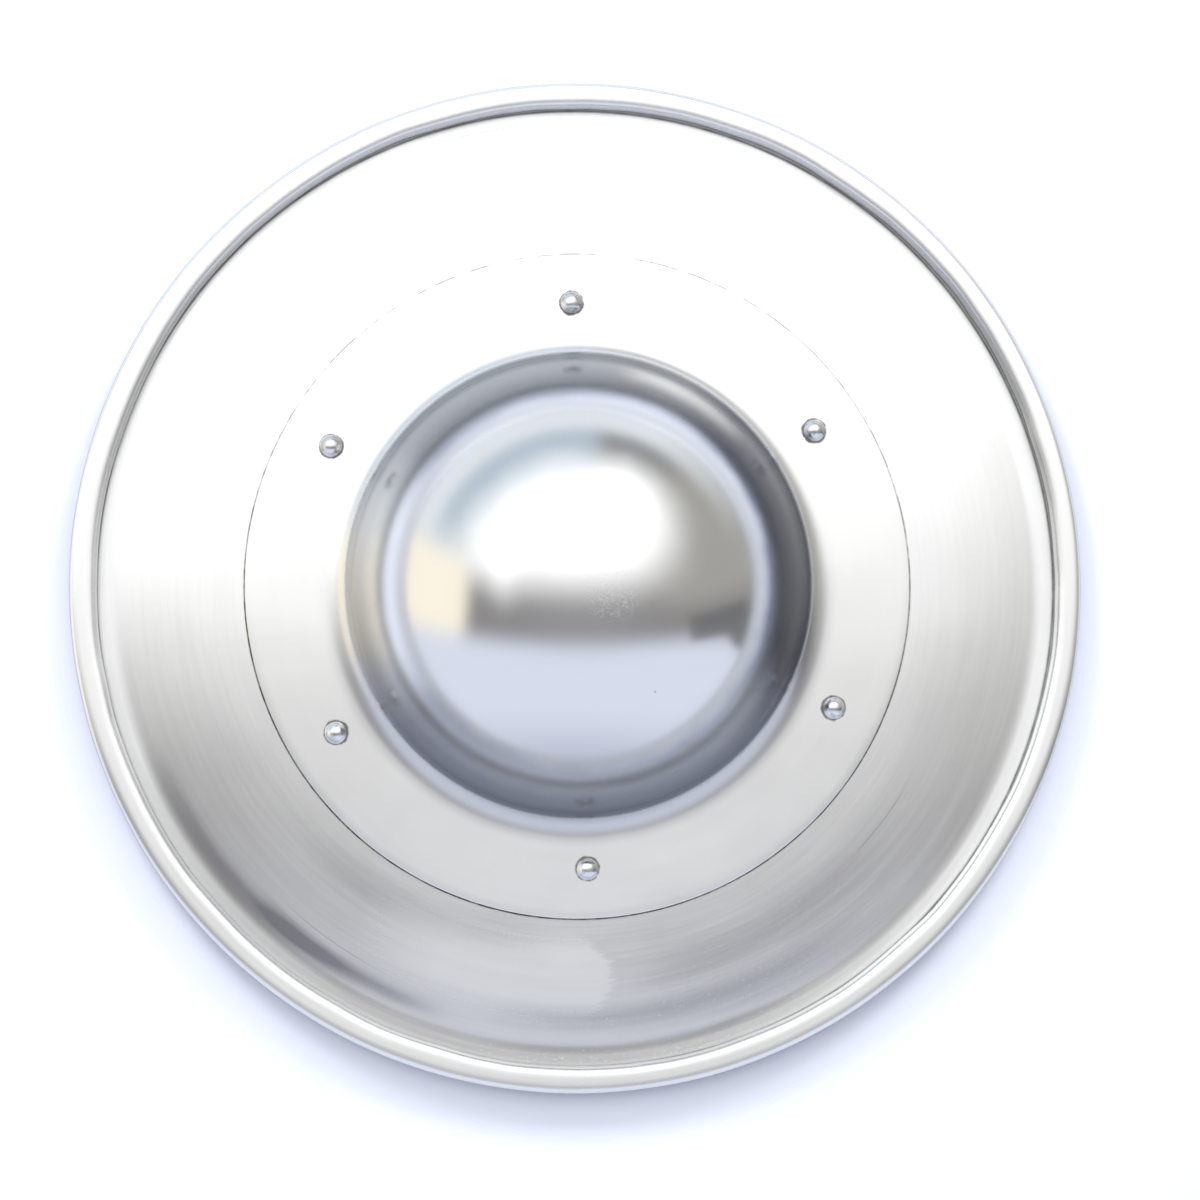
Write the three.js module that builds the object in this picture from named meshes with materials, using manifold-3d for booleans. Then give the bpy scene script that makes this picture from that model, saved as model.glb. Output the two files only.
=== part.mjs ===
/**
 * A small round shield (a buckler) in steel sheet.
 *
 * A dished plate has its edge rolled over to the front as a hollow bead. A domed boss with a round
 * flange covers the hole in its middle, six round-headed rivets hold the two together, and the top
 * and bottom rivets also hold a steel hand grip across the back of the boss's hollow.
 *
 * Millimetres. +Z points out of the boss and +Y is the shield's upper edge. The shield lies on its
 * back: z = 0 is the flat underside of its lip, and the origin is on the boss's axis.
 */
import * as THREE from 'three';
import { mergeVertices } from 'three/addons/utils/BufferGeometryUtils.js';
import Module from 'manifold-3d';

// Sheet and fits
const SHEET = 1.2; // thickness of the plate's sheet and of the boss's
const GAP = 0.3; // clearance between neighbouring pieces

// Plate, from the rim inwards
const SHIELD_R = 152.5; // outside of the rolled edge
const BEAD_R = 3.9; // outside radius of the rolled edge's round section
const CURL_END = 217.5; // degrees, where the roll's edge stops just above the lip
const LIP_R = 141.2; // inner end of the flat lip
const LIP_TURN_R = 14; // front radius of the turn between the lip and the dish
const SHOULDER_R = 260; // front radius of the dish's outer part, which falls to the lip
const CROWN_EDGE_R = 100; // where the shoulder meets the crown
const CROWN_R = 1150; // radius of the sphere that the nearly flat crown follows
const HAND_HOLE_R = 68; // hole behind the boss

// Boss
const DOME_R = 74; // outside radius of the dome
const DOME_TOP = 64; // height of the dome's top above the lip's underside
const FILLET_R = 12; // front radius of the turn between the dome and the flange
const FLANGE_R = 99.9; // outer edge of the flange

// Rivets
const RIVET_CIRCLE_R = 84.9;
const RIVET_ANGLES = [91.5, 33.3, -25.7, -88.2, -148.6, 150.8]; // set by hand, so not quite even
const GRIP_RIVETS = [0, 3]; // the top and the bottom rivet, which are longer
const SHANK_R = 2;
const HEAD_R = 3.5;
const HEAD_H = 2.4;
const TAIL_R = 3;
const TAIL_H = 1.5;

// Grip: a strap with flat ends, its middle bent forward into a half-round handle
const STRAP_T = 2;
const STRAP_W = 21; // width of the flat ends
const STRAP_END = 96; // half of the strap's length
const HANDLE_W = 38; // width of the middle before it is bent
const HANDLE_BEND = 80; // degrees that each side of the handle is bent by
const HANDLE_END = 46; // the handle has its full bend up to here
const STRAP_FLAT = 66; // and the strap is flat from here to its end

// Fineness of the faces
const TURNS = 54;
const RIVET_TURNS = 10;
const GRIP_ACROSS = 6;

const UP = new THREE.Vector3(0, 0, 1);
const { sin, cos, asin, atan2, sqrt, PI } = Math;
const radians = THREE.MathUtils.degToRad;

// The dish's arcs meet where they have the same slope. Centres are (distance from the axis, height).
const CROWN_SLOPE = asin(CROWN_EDGE_R / CROWN_R);
const SHOULDER_X = (CROWN_R - SHOULDER_R) * sin(CROWN_SLOPE);
const LIP_SLOPE = asin((LIP_R - SHOULDER_X) / (SHOULDER_R + LIP_TURN_R));
const SHOULDER_Z = SHEET + LIP_TURN_R - (SHOULDER_R + LIP_TURN_R) * cos(LIP_SLOPE);
const CROWN_Z = SHOULDER_Z - (CROWN_R - SHOULDER_R) * cos(CROWN_SLOPE);

const steel = (color, roughness) => new THREE.MeshStandardMaterial({ color, roughness, metalness: 1 });
const polishedSteel = steel(0xd6d8de, 0.12);
const satinSteel = steel(0xc9ccd0, 0.35);
const rivetSteel = steel(0xbfc2c8, 0.25);
const gripSteel = steel(0x9a9da3, 0.45);

/** Points on a circle round (cx, cy), from angle a to angle b in radians, both ends included. */
function arc(cx, cy, radius, a, b, steps) {
  const point = (k) => {
    const angle = a + ((b - a) * k) / steps;
    return new THREE.Vector2(cx + radius * cos(angle), cy + radius * sin(angle));
  };
  return Array.from({ length: steps + 1 }, (_, k) => point(k));
}

/** An arc of a surface that faces up, from one slope to another. */
const rise = (cx, cy, radius, from, to, steps) => arc(cx, cy, radius, PI / 2 - from, PI / 2 - to, steps);

/** A solid of revolution about Z. The profile is (radius, height), anticlockwise seen from +Y. */
function turned(profile, turns) {
  return new THREE.LatheGeometry(profile, turns).rotateX(PI / 2);
}

const closed = (profile) => [...profile, profile[0].clone()];

/** One face of the plate in section, offset back from the front face, from the hole to the lip. */
function plateFace(offset) {
  const crownR = CROWN_R - offset;
  const turnZ = SHEET + LIP_TURN_R;
  return [
    ...rise(0, CROWN_Z, crownR, asin(HAND_HOLE_R / crownR), CROWN_SLOPE, 2),
    ...rise(SHOULDER_X, SHOULDER_Z, SHOULDER_R - offset, CROWN_SLOPE, LIP_SLOPE, 3).slice(1),
    ...arc(LIP_R, turnZ, LIP_TURN_R + offset, -PI / 2 - LIP_SLOPE, -PI / 2, 2).slice(1),
  ];
}

/** The plate: its back, the roll's outside, the roll's inside and its front, as one sheet. */
function plateGeometry() {
  const roll = (radius, steps) =>
    arc(SHIELD_R - BEAD_R, BEAD_R, radius, -PI / 2, radians(CURL_END), steps);
  const back = plateFace(SHEET);
  const front = plateFace(0);
  const profile = [...back, ...roll(BEAD_R, 10), ...roll(BEAD_R - SHEET, 8).reverse(), ...front.reverse()];
  return turned(closed(profile), TURNS);
}

/** One face of the boss in section, offset back from its front face, from the top to the edge. */
function bossFace(offset, domeSteps) {
  const domeZ = DOME_TOP - DOME_R;
  const flangeR = CROWN_R + GAP + SHEET;
  // The fillet's centre is its own radius away from both spheres.
  const apart = domeZ - CROWN_Z;
  const toFlange = flangeR + FILLET_R;
  const toDome = DOME_R + FILLET_R;
  const along = (toFlange ** 2 - toDome ** 2 + apart ** 2) / (2 * apart);
  const filletX = sqrt(toFlange ** 2 - along ** 2);
  const filletZ = CROWN_Z + along;
  const domeSlope = atan2(filletX, filletZ - domeZ);
  const flangeSlope = asin(filletX / toFlange);
  return [
    ...rise(0, domeZ, DOME_R - offset, 0, domeSlope, domeSteps),
    ...arc(filletX, filletZ, FILLET_R + offset, -PI / 2 - domeSlope, -PI / 2 - flangeSlope, 4).slice(1),
    ...rise(0, CROWN_Z, flangeR - offset, flangeSlope, asin(FLANGE_R / flangeR), 2).slice(1),
  ];
}

/** The boss: a dome that turns out into its flange, hollow and open at the back. */
function bossGeometry() {
  return turned([...bossFace(SHEET, 8), ...bossFace(0, 9).reverse()], TURNS);
}

/** A rivet on its own axis, with z = 0 at the plate's front face and its head towards +Z. */
function rivetGeometry(gripped) {
  const headFoot = SHEET + 2 * GAP;
  const tailTop = -(SHEET + GAP) - (gripped ? STRAP_T + GAP : 0);
  const tailFoot = tailTop - TAIL_H;
  const ballR = (HEAD_R ** 2 + HEAD_H ** 2) / (2 * HEAD_H);
  const head = rise(0, headFoot + HEAD_H - ballR, ballR, asin(HEAD_R / ballR), 0, 4);
  return turned(
    [
      new THREE.Vector2(0, tailFoot),
      new THREE.Vector2(0.75 * TAIL_R, tailFoot + 0.15 * TAIL_H),
      new THREE.Vector2(TAIL_R, tailFoot + 0.6 * TAIL_H),
      new THREE.Vector2(TAIL_R, tailTop),
      new THREE.Vector2(SHANK_R, tailTop),
      new THREE.Vector2(SHANK_R, headFoot),
      ...head,
    ],
    RIVET_TURNS,
  );
}

/** Where a rivet sits: on the plate's front face, square to it. */
function rivetSeat(degrees) {
  const slope = asin(RIVET_CIRCLE_R / CROWN_R);
  const turn = radians(degrees);
  const normal = new THREE.Vector3(sin(slope) * cos(turn), sin(slope) * sin(turn), cos(slope));
  const position = normal.clone().multiplyScalar(CROWN_R);
  position.z += CROWN_Z;
  return { position, quaternion: new THREE.Quaternion().setFromUnitVectors(UP, normal) };
}

/** How far the strap is along its change from flat end (0) to full handle (1), y from the middle. */
const handleShare = (y) => THREE.MathUtils.smoothstep(STRAP_FLAT - Math.abs(y), 0, STRAP_FLAT - HANDLE_END);

/** The middle of the strap's thickness on its centreline: along the plate's back, then straight. */
function strapHeight(y) {
  const radius = CROWN_R - SHEET - GAP - STRAP_T / 2;
  return CROWN_Z + sqrt(radius ** 2 - Math.max(Math.abs(y), STRAP_FLAT) ** 2);
}

/** The strap's section at y, a closed ring of points: its back from one edge to the other, then its front. */
function strapSection(y) {
  const share = handleShare(y);
  const endR = STRAP_W / 2;
  const intoEnd = Math.max(0, Math.abs(y) - (STRAP_END - endR));
  const flatWidth = 2 * sqrt(Math.max(endR ** 2 - intoEnd ** 2, 1));
  const width = flatWidth + share * (HANDLE_W - STRAP_W);
  const bend = Math.max(share * radians(HANDLE_BEND), 0.001);
  const radius = width / (2 * bend);
  const middle = strapHeight(y) + radius;
  const face = (offset) => arc(0, middle, radius + offset, -PI / 2 - bend, -PI / 2 + bend, GRIP_ACROSS);
  return [...face(STRAP_T / 2), ...face(-STRAP_T / 2).reverse()];
}

/** A closed skin through rings of equal length that lie at rising y, with flat ends. */
function lofted(rings) {
  const around = rings[0].points.length;
  const positions = rings.flatMap(({ y, points }) => points.flatMap((p) => [p.x, y, p.y]));
  const index = [];
  for (let k = 0; k + 1 < rings.length; k += 1) {
    for (let i = 0; i < around; i += 1) {
      const a = k * around + i;
      const b = k * around + ((i + 1) % around);
      index.push(a, a + around, b, b, a + around, b + around);
    }
  }
  // Each end is a strip between the ring's two long sides.
  const last = (rings.length - 1) * around;
  for (let i = 0; i + 1 < around / 2; i += 1) {
    const [a, b, c, d] = [i, i + 1, around - 2 - i, around - 1 - i];
    index.push(a, b, c, a, c, d);
    index.push(last + a, last + c, last + b, last + a, last + d, last + c);
  }
  const geometry = new THREE.BufferGeometry();
  geometry.setAttribute('position', new THREE.Float32BufferAttribute(positions, 3));
  geometry.setIndex(index);
  return geometry;
}

/** The grip, turned to run from the top rivet to the bottom one. */
function gripGeometry() {
  const half = [
    ...arc(STRAP_END - STRAP_W / 2, 0, STRAP_W / 2, 0, PI / 2, 4).map((p) => p.x),
    STRAP_FLAT,
    ...[0.75, 0.5, 0.25, 0].map((k) => HANDLE_END + k * (STRAP_FLAT - HANDLE_END)),
  ];
  const stations = [...half.map((y) => -y), ...half.reverse()];
  const strap = lofted(stations.map((y) => ({ y, points: strapSection(y) })));
  const [top, bottom] = GRIP_RIVETS.map((k) => RIVET_ANGLES[k]);
  return strap.rotateZ(radians((top + bottom + 180) / 2 - 90));
}

const wasm = await Module();
wasm.setup();

/** A mesh with its shared vertices merged and its empty triangles left out, as a solid. */
function solidOf(geometry) {
  const bare = geometry.clone();
  bare.deleteAttribute('normal');
  bare.deleteAttribute('uv');
  const welded = mergeVertices(bare, 1e-4);
  const corners = [];
  for (let k = 0; k < welded.index.count; k += 3) {
    const [a, b, c] = [0, 1, 2].map((i) => welded.index.getX(k + i));
    if (a !== b && b !== c && c !== a) {
      corners.push(a, b, c);
    }
  }
  return new wasm.Manifold(
    new wasm.Mesh({
      numProp: 3,
      vertProperties: new Float32Array(welded.attributes.position.array),
      triVerts: new Uint32Array(corners),
    }),
  );
}

/** The geometry with a clearance hole bored through it at each of the given rivets. */
function bored(geometry, degrees) {
  const drillLength = 16;
  let solid = solidOf(geometry);
  for (const angle of degrees) {
    const { position, quaternion } = rivetSeat(angle);
    const drill = new THREE.CylinderGeometry(SHANK_R + GAP, SHANK_R + GAP, drillLength, RIVET_TURNS)
      .rotateX(PI / 2)
      .applyQuaternion(quaternion)
      .translate(position.x, position.y, position.z);
    solid = solid.subtract(solidOf(drill));
  }
  const mesh = solid.getMesh();
  const result = new THREE.BufferGeometry();
  result.setAttribute('position', new THREE.BufferAttribute(mesh.vertProperties, 3));
  result.setIndex(new THREE.BufferAttribute(mesh.triVerts, 1));
  return result;
}

function piece(name, geometry, material) {
  geometry.computeVertexNormals();
  const mesh = new THREE.Mesh(geometry, material.clone());
  mesh.name = name;
  return mesh;
}

const buckler = new THREE.Group();
buckler.name = 'buckler';
buckler.add(piece('plate', bored(plateGeometry(), RIVET_ANGLES), satinSteel));
buckler.add(piece('boss', bored(bossGeometry(), RIVET_ANGLES), polishedSteel));
buckler.add(piece('grip', bored(gripGeometry(), GRIP_RIVETS.map((k) => RIVET_ANGLES[k])), gripSteel));

RIVET_ANGLES.forEach((angle, k) => {
  const rivet = piece(`rivet_${k + 1}`, rivetGeometry(GRIP_RIVETS.includes(k)), rivetSteel);
  const { position, quaternion } = rivetSeat(angle);
  rivet.position.copy(position);
  rivet.quaternion.copy(quaternion);
  buckler.add(rivet);
});

export default buckler;
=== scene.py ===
"""The looks of a small round steel shield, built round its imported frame.

A dished plate with a rolled edge carries a domed boss on six round-headed rivets, and a half-round grip
crosses the boss's hollow behind. The shield lies on its back, +Z comes out of the boss, and +Y is its
upper edge. All sizes are metres, and angles are degrees unless a name says otherwise.
"""

import logging
import math
from dataclasses import dataclass, field
from enum import Enum
from typing import Iterable, Mapping, Sequence

import bpy
from mathutils import Matrix, Vector


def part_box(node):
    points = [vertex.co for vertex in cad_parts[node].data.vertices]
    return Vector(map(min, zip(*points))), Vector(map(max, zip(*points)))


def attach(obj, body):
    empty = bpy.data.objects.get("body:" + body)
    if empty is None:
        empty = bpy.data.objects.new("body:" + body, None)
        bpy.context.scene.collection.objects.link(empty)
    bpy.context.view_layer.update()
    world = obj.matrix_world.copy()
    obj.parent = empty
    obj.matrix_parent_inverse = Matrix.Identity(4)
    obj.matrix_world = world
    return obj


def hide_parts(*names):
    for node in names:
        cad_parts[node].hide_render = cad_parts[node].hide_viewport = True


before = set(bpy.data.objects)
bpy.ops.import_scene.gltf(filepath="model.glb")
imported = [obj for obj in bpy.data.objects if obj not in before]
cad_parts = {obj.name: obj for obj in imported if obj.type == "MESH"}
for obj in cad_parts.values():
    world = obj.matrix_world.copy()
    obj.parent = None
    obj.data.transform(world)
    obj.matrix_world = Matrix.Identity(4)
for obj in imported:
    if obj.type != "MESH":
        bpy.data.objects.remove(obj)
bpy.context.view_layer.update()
MM = 0.001
TINY = 0.001 * MM  # keeps divisions on the axis safe, and joins points that coincide
BODY = "root"

log = logging.getLogger("buckler")

Colour = tuple[float, float, float]
Point = tuple[float, float]


# ---------------------------------------------------------------------------------------------------
# Node trees
# ---------------------------------------------------------------------------------------------------


class Value:
    """A number socket of a node tree, so that maths on it reads as an expression."""

    def __init__(self, graph: "Graph", socket: bpy.types.NodeSocket) -> None:
        """Wraps socket, which belongs to graph."""
        self.graph = graph
        self.socket = socket

    def _math(self, operation: str, *operands: object, clamp: bool = False) -> "Value":
        """Adds one Math node.

        Args:
            operation: the Math node's operation.
            operands: its inputs in order, values or numbers.
            clamp: whether the result is kept from 0 to 1.

        Returns:
            The node's result.
        """
        settings = {"operation": operation, "use_clamp": clamp}
        made = self.graph.node("ShaderNodeMath", settings, dict(enumerate(operands)))
        return Value(self.graph, made.outputs[0])

    def __add__(self, other: object) -> "Value":
        """self + other."""
        return self._math("ADD", self, other)

    def __sub__(self, other: object) -> "Value":
        """self - other."""
        return self._math("SUBTRACT", self, other)

    def __mul__(self, other: object) -> "Value":
        """self * other."""
        return self._math("MULTIPLY", self, other)

    def __truediv__(self, other: object) -> "Value":
        """self / other."""
        return self._math("DIVIDE", self, other)

    def __rsub__(self, other: object) -> "Value":
        """other - self."""
        return self._math("SUBTRACT", other, self)

    __radd__ = __add__
    __rmul__ = __mul__

    def __pow__(self, other: object) -> "Value":
        """self to the power of other."""
        return self._math("POWER", self, other)

    def __lt__(self, other: object) -> "Value":
        """1 where self is less than other, else 0."""
        return self._math("LESS_THAN", self, other)

    def clamped(self) -> "Value":
        """self, kept from 0 to 1."""
        return self._math("ADD", self, 0.0, clamp=True)

    def absolute(self) -> "Value":
        """self without its sign."""
        return self._math("ABSOLUTE", self)

    def least(self, other: object) -> "Value":
        """The smaller of self and other."""
        return self._math("MINIMUM", self, other)

    def most(self, other: object) -> "Value":
        """The larger of self and other."""
        return self._math("MAXIMUM", self, other)

    def angle(self, function: str) -> "Value":
        """An angle in degrees.

        Args:
            function: ARCSINE or ARCCOSINE, of self.

        Returns:
            The angle.
        """
        return self._math(function, self) * math.degrees(1.0)

    def step(self, low: float, high: float) -> "Value":
        """A smooth step.

        Args:
            low: where the step starts.
            high: where it ends; below low, the step goes down.

        Returns:
            0 before low, 1 after high, smooth in between.
        """
        settings = {"interpolation_type": "SMOOTHSTEP"}
        if low < high:
            inputs = {"Value": self, "From Min": low, "From Max": high}
        else:
            inputs = {"Value": self, "From Min": high, "From Max": low, "To Min": 1.0, "To Max": 0.0}
        return Value(self.graph, self.graph.node("ShaderNodeMapRange", settings, inputs).outputs[0])

    def band(self, middle: float, width: float) -> "Value":
        """1 at middle, falling smoothly to 0 at width on either side."""
        return (self - middle).absolute().step(width, 0.0)

    def between(self, low: float, high: float, soft: float) -> "Value":
        """1 from low to high, falling smoothly to 0 over soft outside them."""
        return self.step(low - soft, low) * self.step(high + soft, high)


class Graph:
    """Builds one node tree: a material's, the world's or a Geometry Nodes group's."""

    def __init__(self, tree: bpy.types.NodeTree) -> None:
        """Starts on tree, emptied."""
        self.tree = tree
        tree.nodes.clear()

    def node(
        self,
        kind: str,
        settings: Mapping[str, object] | None = None,
        inputs: Mapping[object, object] | None = None,
    ) -> bpy.types.Node:
        """Adds any node.

        Args:
            kind: the node's type.
            settings: its properties, set first.
            inputs: values or links for its sockets, by name or by number.

        Returns:
            The node.
        """
        made = self.tree.nodes.new(kind)
        for name, value in (settings or {}).items():
            setattr(made, name, value)
        for name, value in (inputs or {}).items():
            self.feed(self._input(made, name), value)
        return made

    @staticmethod
    def _input(made: bpy.types.Node, name: object) -> bpy.types.NodeSocket:
        """The input of that number, or the enabled one of that name."""
        if isinstance(name, int):
            return made.inputs[name]
        return next(s for s in made.inputs if s.name == name and s.enabled)

    def feed(self, socket: bpy.types.NodeSocket, value: object) -> None:
        """Links socket to value where value is a socket, and otherwise sets it."""
        if isinstance(value, Value):
            value = value.socket
        if isinstance(value, bpy.types.NodeSocket):
            self.tree.links.new(value, socket)
        elif isinstance(value, tuple) and len(value) == 3 and socket.type == "RGBA":
            socket.default_value = (*value, 1.0)
        else:
            socket.default_value = value

    def value(self, made: bpy.types.Node, output: object = 0) -> Value:
        """An output of a node, for use in expressions."""
        return Value(self, made.outputs[output])

    def vector(self, x: object, y: object, z: object) -> bpy.types.NodeSocket:
        """A vector from three numbers or values."""
        return self.node("ShaderNodeCombineXYZ", None, {0: x, 1: y, 2: z}).outputs[0]

    def parts(self, vector: object) -> tuple[Value, Value, Value]:
        """The three numbers of a vector."""
        made = self.node("ShaderNodeSeparateXYZ", None, {0: vector})
        return self.value(made, 0), self.value(made, 1), self.value(made, 2)

    def along(self, operation: str, *operands: object) -> bpy.types.NodeSocket:
        """A Vector Math node's vector."""
        made = self.node("ShaderNodeVectorMath", {"operation": operation}, dict(enumerate(operands)))
        return made.outputs[0]

    def scaled(self, vector: object, scale: object) -> bpy.types.NodeSocket:
        """A vector times a number."""
        made = self.node("ShaderNodeVectorMath", {"operation": "SCALE"}, {0: vector, "Scale": scale})
        return made.outputs[0]

    def length(self, x: Value, y: Value) -> Value:
        """The length of (x, y)."""
        return (x * x + y * y) ** 0.5

    def mix(self, factor: object, a: object, b: object) -> bpy.types.NodeSocket:
        """The colour a where factor is 0, and b where it is 1."""
        made = self.node("ShaderNodeMix", {"data_type": "RGBA"}, {"Factor": factor, "A": a, "B": b})
        return next(s for s in made.outputs if s.enabled)

    def surface(self, shader: bpy.types.Node) -> None:
        """Ends a material with that shader."""
        self.node("ShaderNodeOutputMaterial", None, {"Surface": shader.outputs[0]})

    def noise(self, vector: object, scale: float, detail: float = 2.0, rough: float = 0.5) -> Value:
        """Smooth noise from 0 to 1.

        Args:
            vector: where it is read.
            scale: lumps for each unit of vector.
            detail: how many finer layers it has.
            rough: how strong those are.

        Returns:
            The noise.
        """
        inputs = {"Vector": vector, "Scale": scale, "Detail": detail, "Roughness": rough}
        return self.value(self.node("ShaderNodeTexNoise", None, inputs), 0)


class Recipe(Graph):
    """A Geometry Nodes group with named inputs, which is run once to give a plain mesh."""

    def __init__(self, name: str) -> None:
        """Starts an empty group of that name, with a mesh going in."""
        super().__init__(bpy.data.node_groups.new(name, "GeometryNodeTree"))
        self.tree.interface.new_socket("Geometry", in_out="OUTPUT", socket_type="NodeSocketGeometry")
        self.given = self.node("NodeGroupInput")
        self.mesh = self.taken("Geometry", "NodeSocketGeometry")

    def taken(self, name: str, kind: str = "NodeSocketFloat") -> bpy.types.NodeSocket:
        """Adds a named input.

        Args:
            name: the input's name.
            kind: its socket type.

        Returns:
            The socket that gives it inside the group.
        """
        self.tree.interface.new_socket(name, in_out="INPUT", socket_type=kind)
        return self.given.outputs[name]

    def number(self, name: str) -> Value:
        """Adds a named number input, for use in expressions."""
        return Value(self, self.taken(name))

    def chain(self, kind: str, geometry: object, **inputs: object) -> bpy.types.NodeSocket:
        """Adds a node that takes a geometry and gives one.

        Args:
            kind: the node's type, without GeometryNode.
            geometry: what goes into its first input.
            inputs: its other inputs, with _ for each space.

        Returns:
            Its geometry.
        """
        named = {name.replace("_", " "): value for name, value in inputs.items()}
        return self.node("GeometryNode" + kind, None, {0: geometry, **named}).outputs[0]

    def finish(self, geometry: object) -> None:
        """Ends the group with that geometry, its instances made real."""
        self.node("NodeGroupOutput", None, {0: self.chain("RealizeInstances", geometry)})

    def make(self, name: str, mesh: bpy.types.Mesh, settings: Mapping[str, object]) -> bpy.types.Object:
        """Runs the group on a mesh.

        Args:
            name: the piece's name.
            mesh: what goes in.
            settings: the values of the named inputs.

        Returns:
            A new object at the origin with the resulting plain mesh and no modifier.
        """
        piece = bpy.data.objects.new(name, mesh)
        bpy.context.scene.collection.objects.link(piece)
        modifier = piece.modifiers.new(self.tree.name, "NODES")
        modifier.node_group = self.tree
        for item in self.tree.interface.items_tree:
            if item.item_type == "SOCKET" and item.in_out == "INPUT" and item.name in settings:
                modifier[item.identifier] = settings[item.name]
        depsgraph = bpy.context.evaluated_depsgraph_get()
        made = bpy.data.meshes.new_from_object(piece.evaluated_get(depsgraph), depsgraph=depsgraph)
        piece.modifiers.remove(modifier)
        piece.data = made
        made.name = name
        return piece


# ---------------------------------------------------------------------------------------------------
# Sections
# ---------------------------------------------------------------------------------------------------


def arc(cx: float, cy: float, radius: float, start: float, end: float, fineness: float = 6.0) -> list[Point]:
    """Points on a circle's arc.

    Args:
        cx: the centre's distance from the axis.
        cy: the centre's height.
        radius: the circle's radius.
        start: where the arc starts, anticlockwise from straight outwards.
        end: where it ends.
        fineness: the largest angle between two points.

    Returns:
        The points, both ends included.
    """
    steps = max(1, math.ceil(abs(end - start) / fineness))
    angles = [math.radians(start + (end - start) * k / steps) for k in range(steps + 1)]
    return [(cx + radius * math.cos(a), cy + radius * math.sin(a)) for a in angles]


def flattened(points: Sequence[Point], cx: float, cy: float, squareness: float) -> list[Point]:
    """Makes round points about a centre squarer, as a hammer leaves a rolled edge.

    Args:
        points: the points.
        cx: the centre's distance from the axis.
        cy: the centre's height.
        squareness: 2 leaves a circle, and more brings it nearer to a square.

    Returns:
        The points, no further out or up than before.
    """
    result = []
    for x, y in points:
        dx, dy = x - cx, y - cy
        radius = math.hypot(dx, dy)
        reach = (abs(dx / radius) ** squareness + abs(dy / radius) ** squareness) ** (-1.0 / squareness)
        result.append((cx + dx * reach, cy + dy * reach))
    return result


def rise(cx: float, cy: float, radius: float, start: float, end: float, fineness: float) -> list[Point]:
    """An arc of a surface that faces up, from one slope to another; see arc."""
    return arc(cx, cy, radius, 90.0 - start, 90.0 - end, fineness)


def eased(points: Sequence[Point], corners: Iterable[int], radius: float) -> list[Point]:
    """Rounds off corners of a section.

    Args:
        points: the section's points.
        corners: the numbers of the points to round off.
        radius: how far from the corner the rounding starts.

    Returns:
        The points, each of those corners now a short curve.
    """
    result: list[Point] = []
    marked = {k % len(points) for k in corners}
    for k, point in enumerate(points):
        if k not in marked:
            result.append(point)
            continue
        corner = Vector(point)
        before = (Vector(points[k - 1]) - corner).normalized() * radius
        after = (Vector(points[(k + 1) % len(points)]) - corner).normalized() * radius
        for share in (0.0, 0.25, 0.5, 0.75, 1.0):
            place = corner + before * (1.0 - share) ** 2 + after * share**2
            result.append((place.x, place.y))
    return result


def section_mesh(name: str, points: Sequence[Point], closed: bool, guide: float) -> bpy.types.Mesh:
    """A section as a chain of edges, laid out for the spinning recipe.

    Args:
        name: the mesh's name.
        points: (distance from the axis, height), anticlockwise.
        closed: whether the last point joins the first.
        guide: radius of the guide circle that the section is swept round.

    Returns:
        The mesh.
    """
    places = [(x - guide, -z, 0.0) for x, z in reversed(points)]
    count = len(places)
    edges = [(k, (k + 1) % count) for k in range(count if closed else count - 1)]
    mesh = bpy.data.meshes.new(name)
    mesh.from_pydata(places, edges, [])
    return mesh


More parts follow.
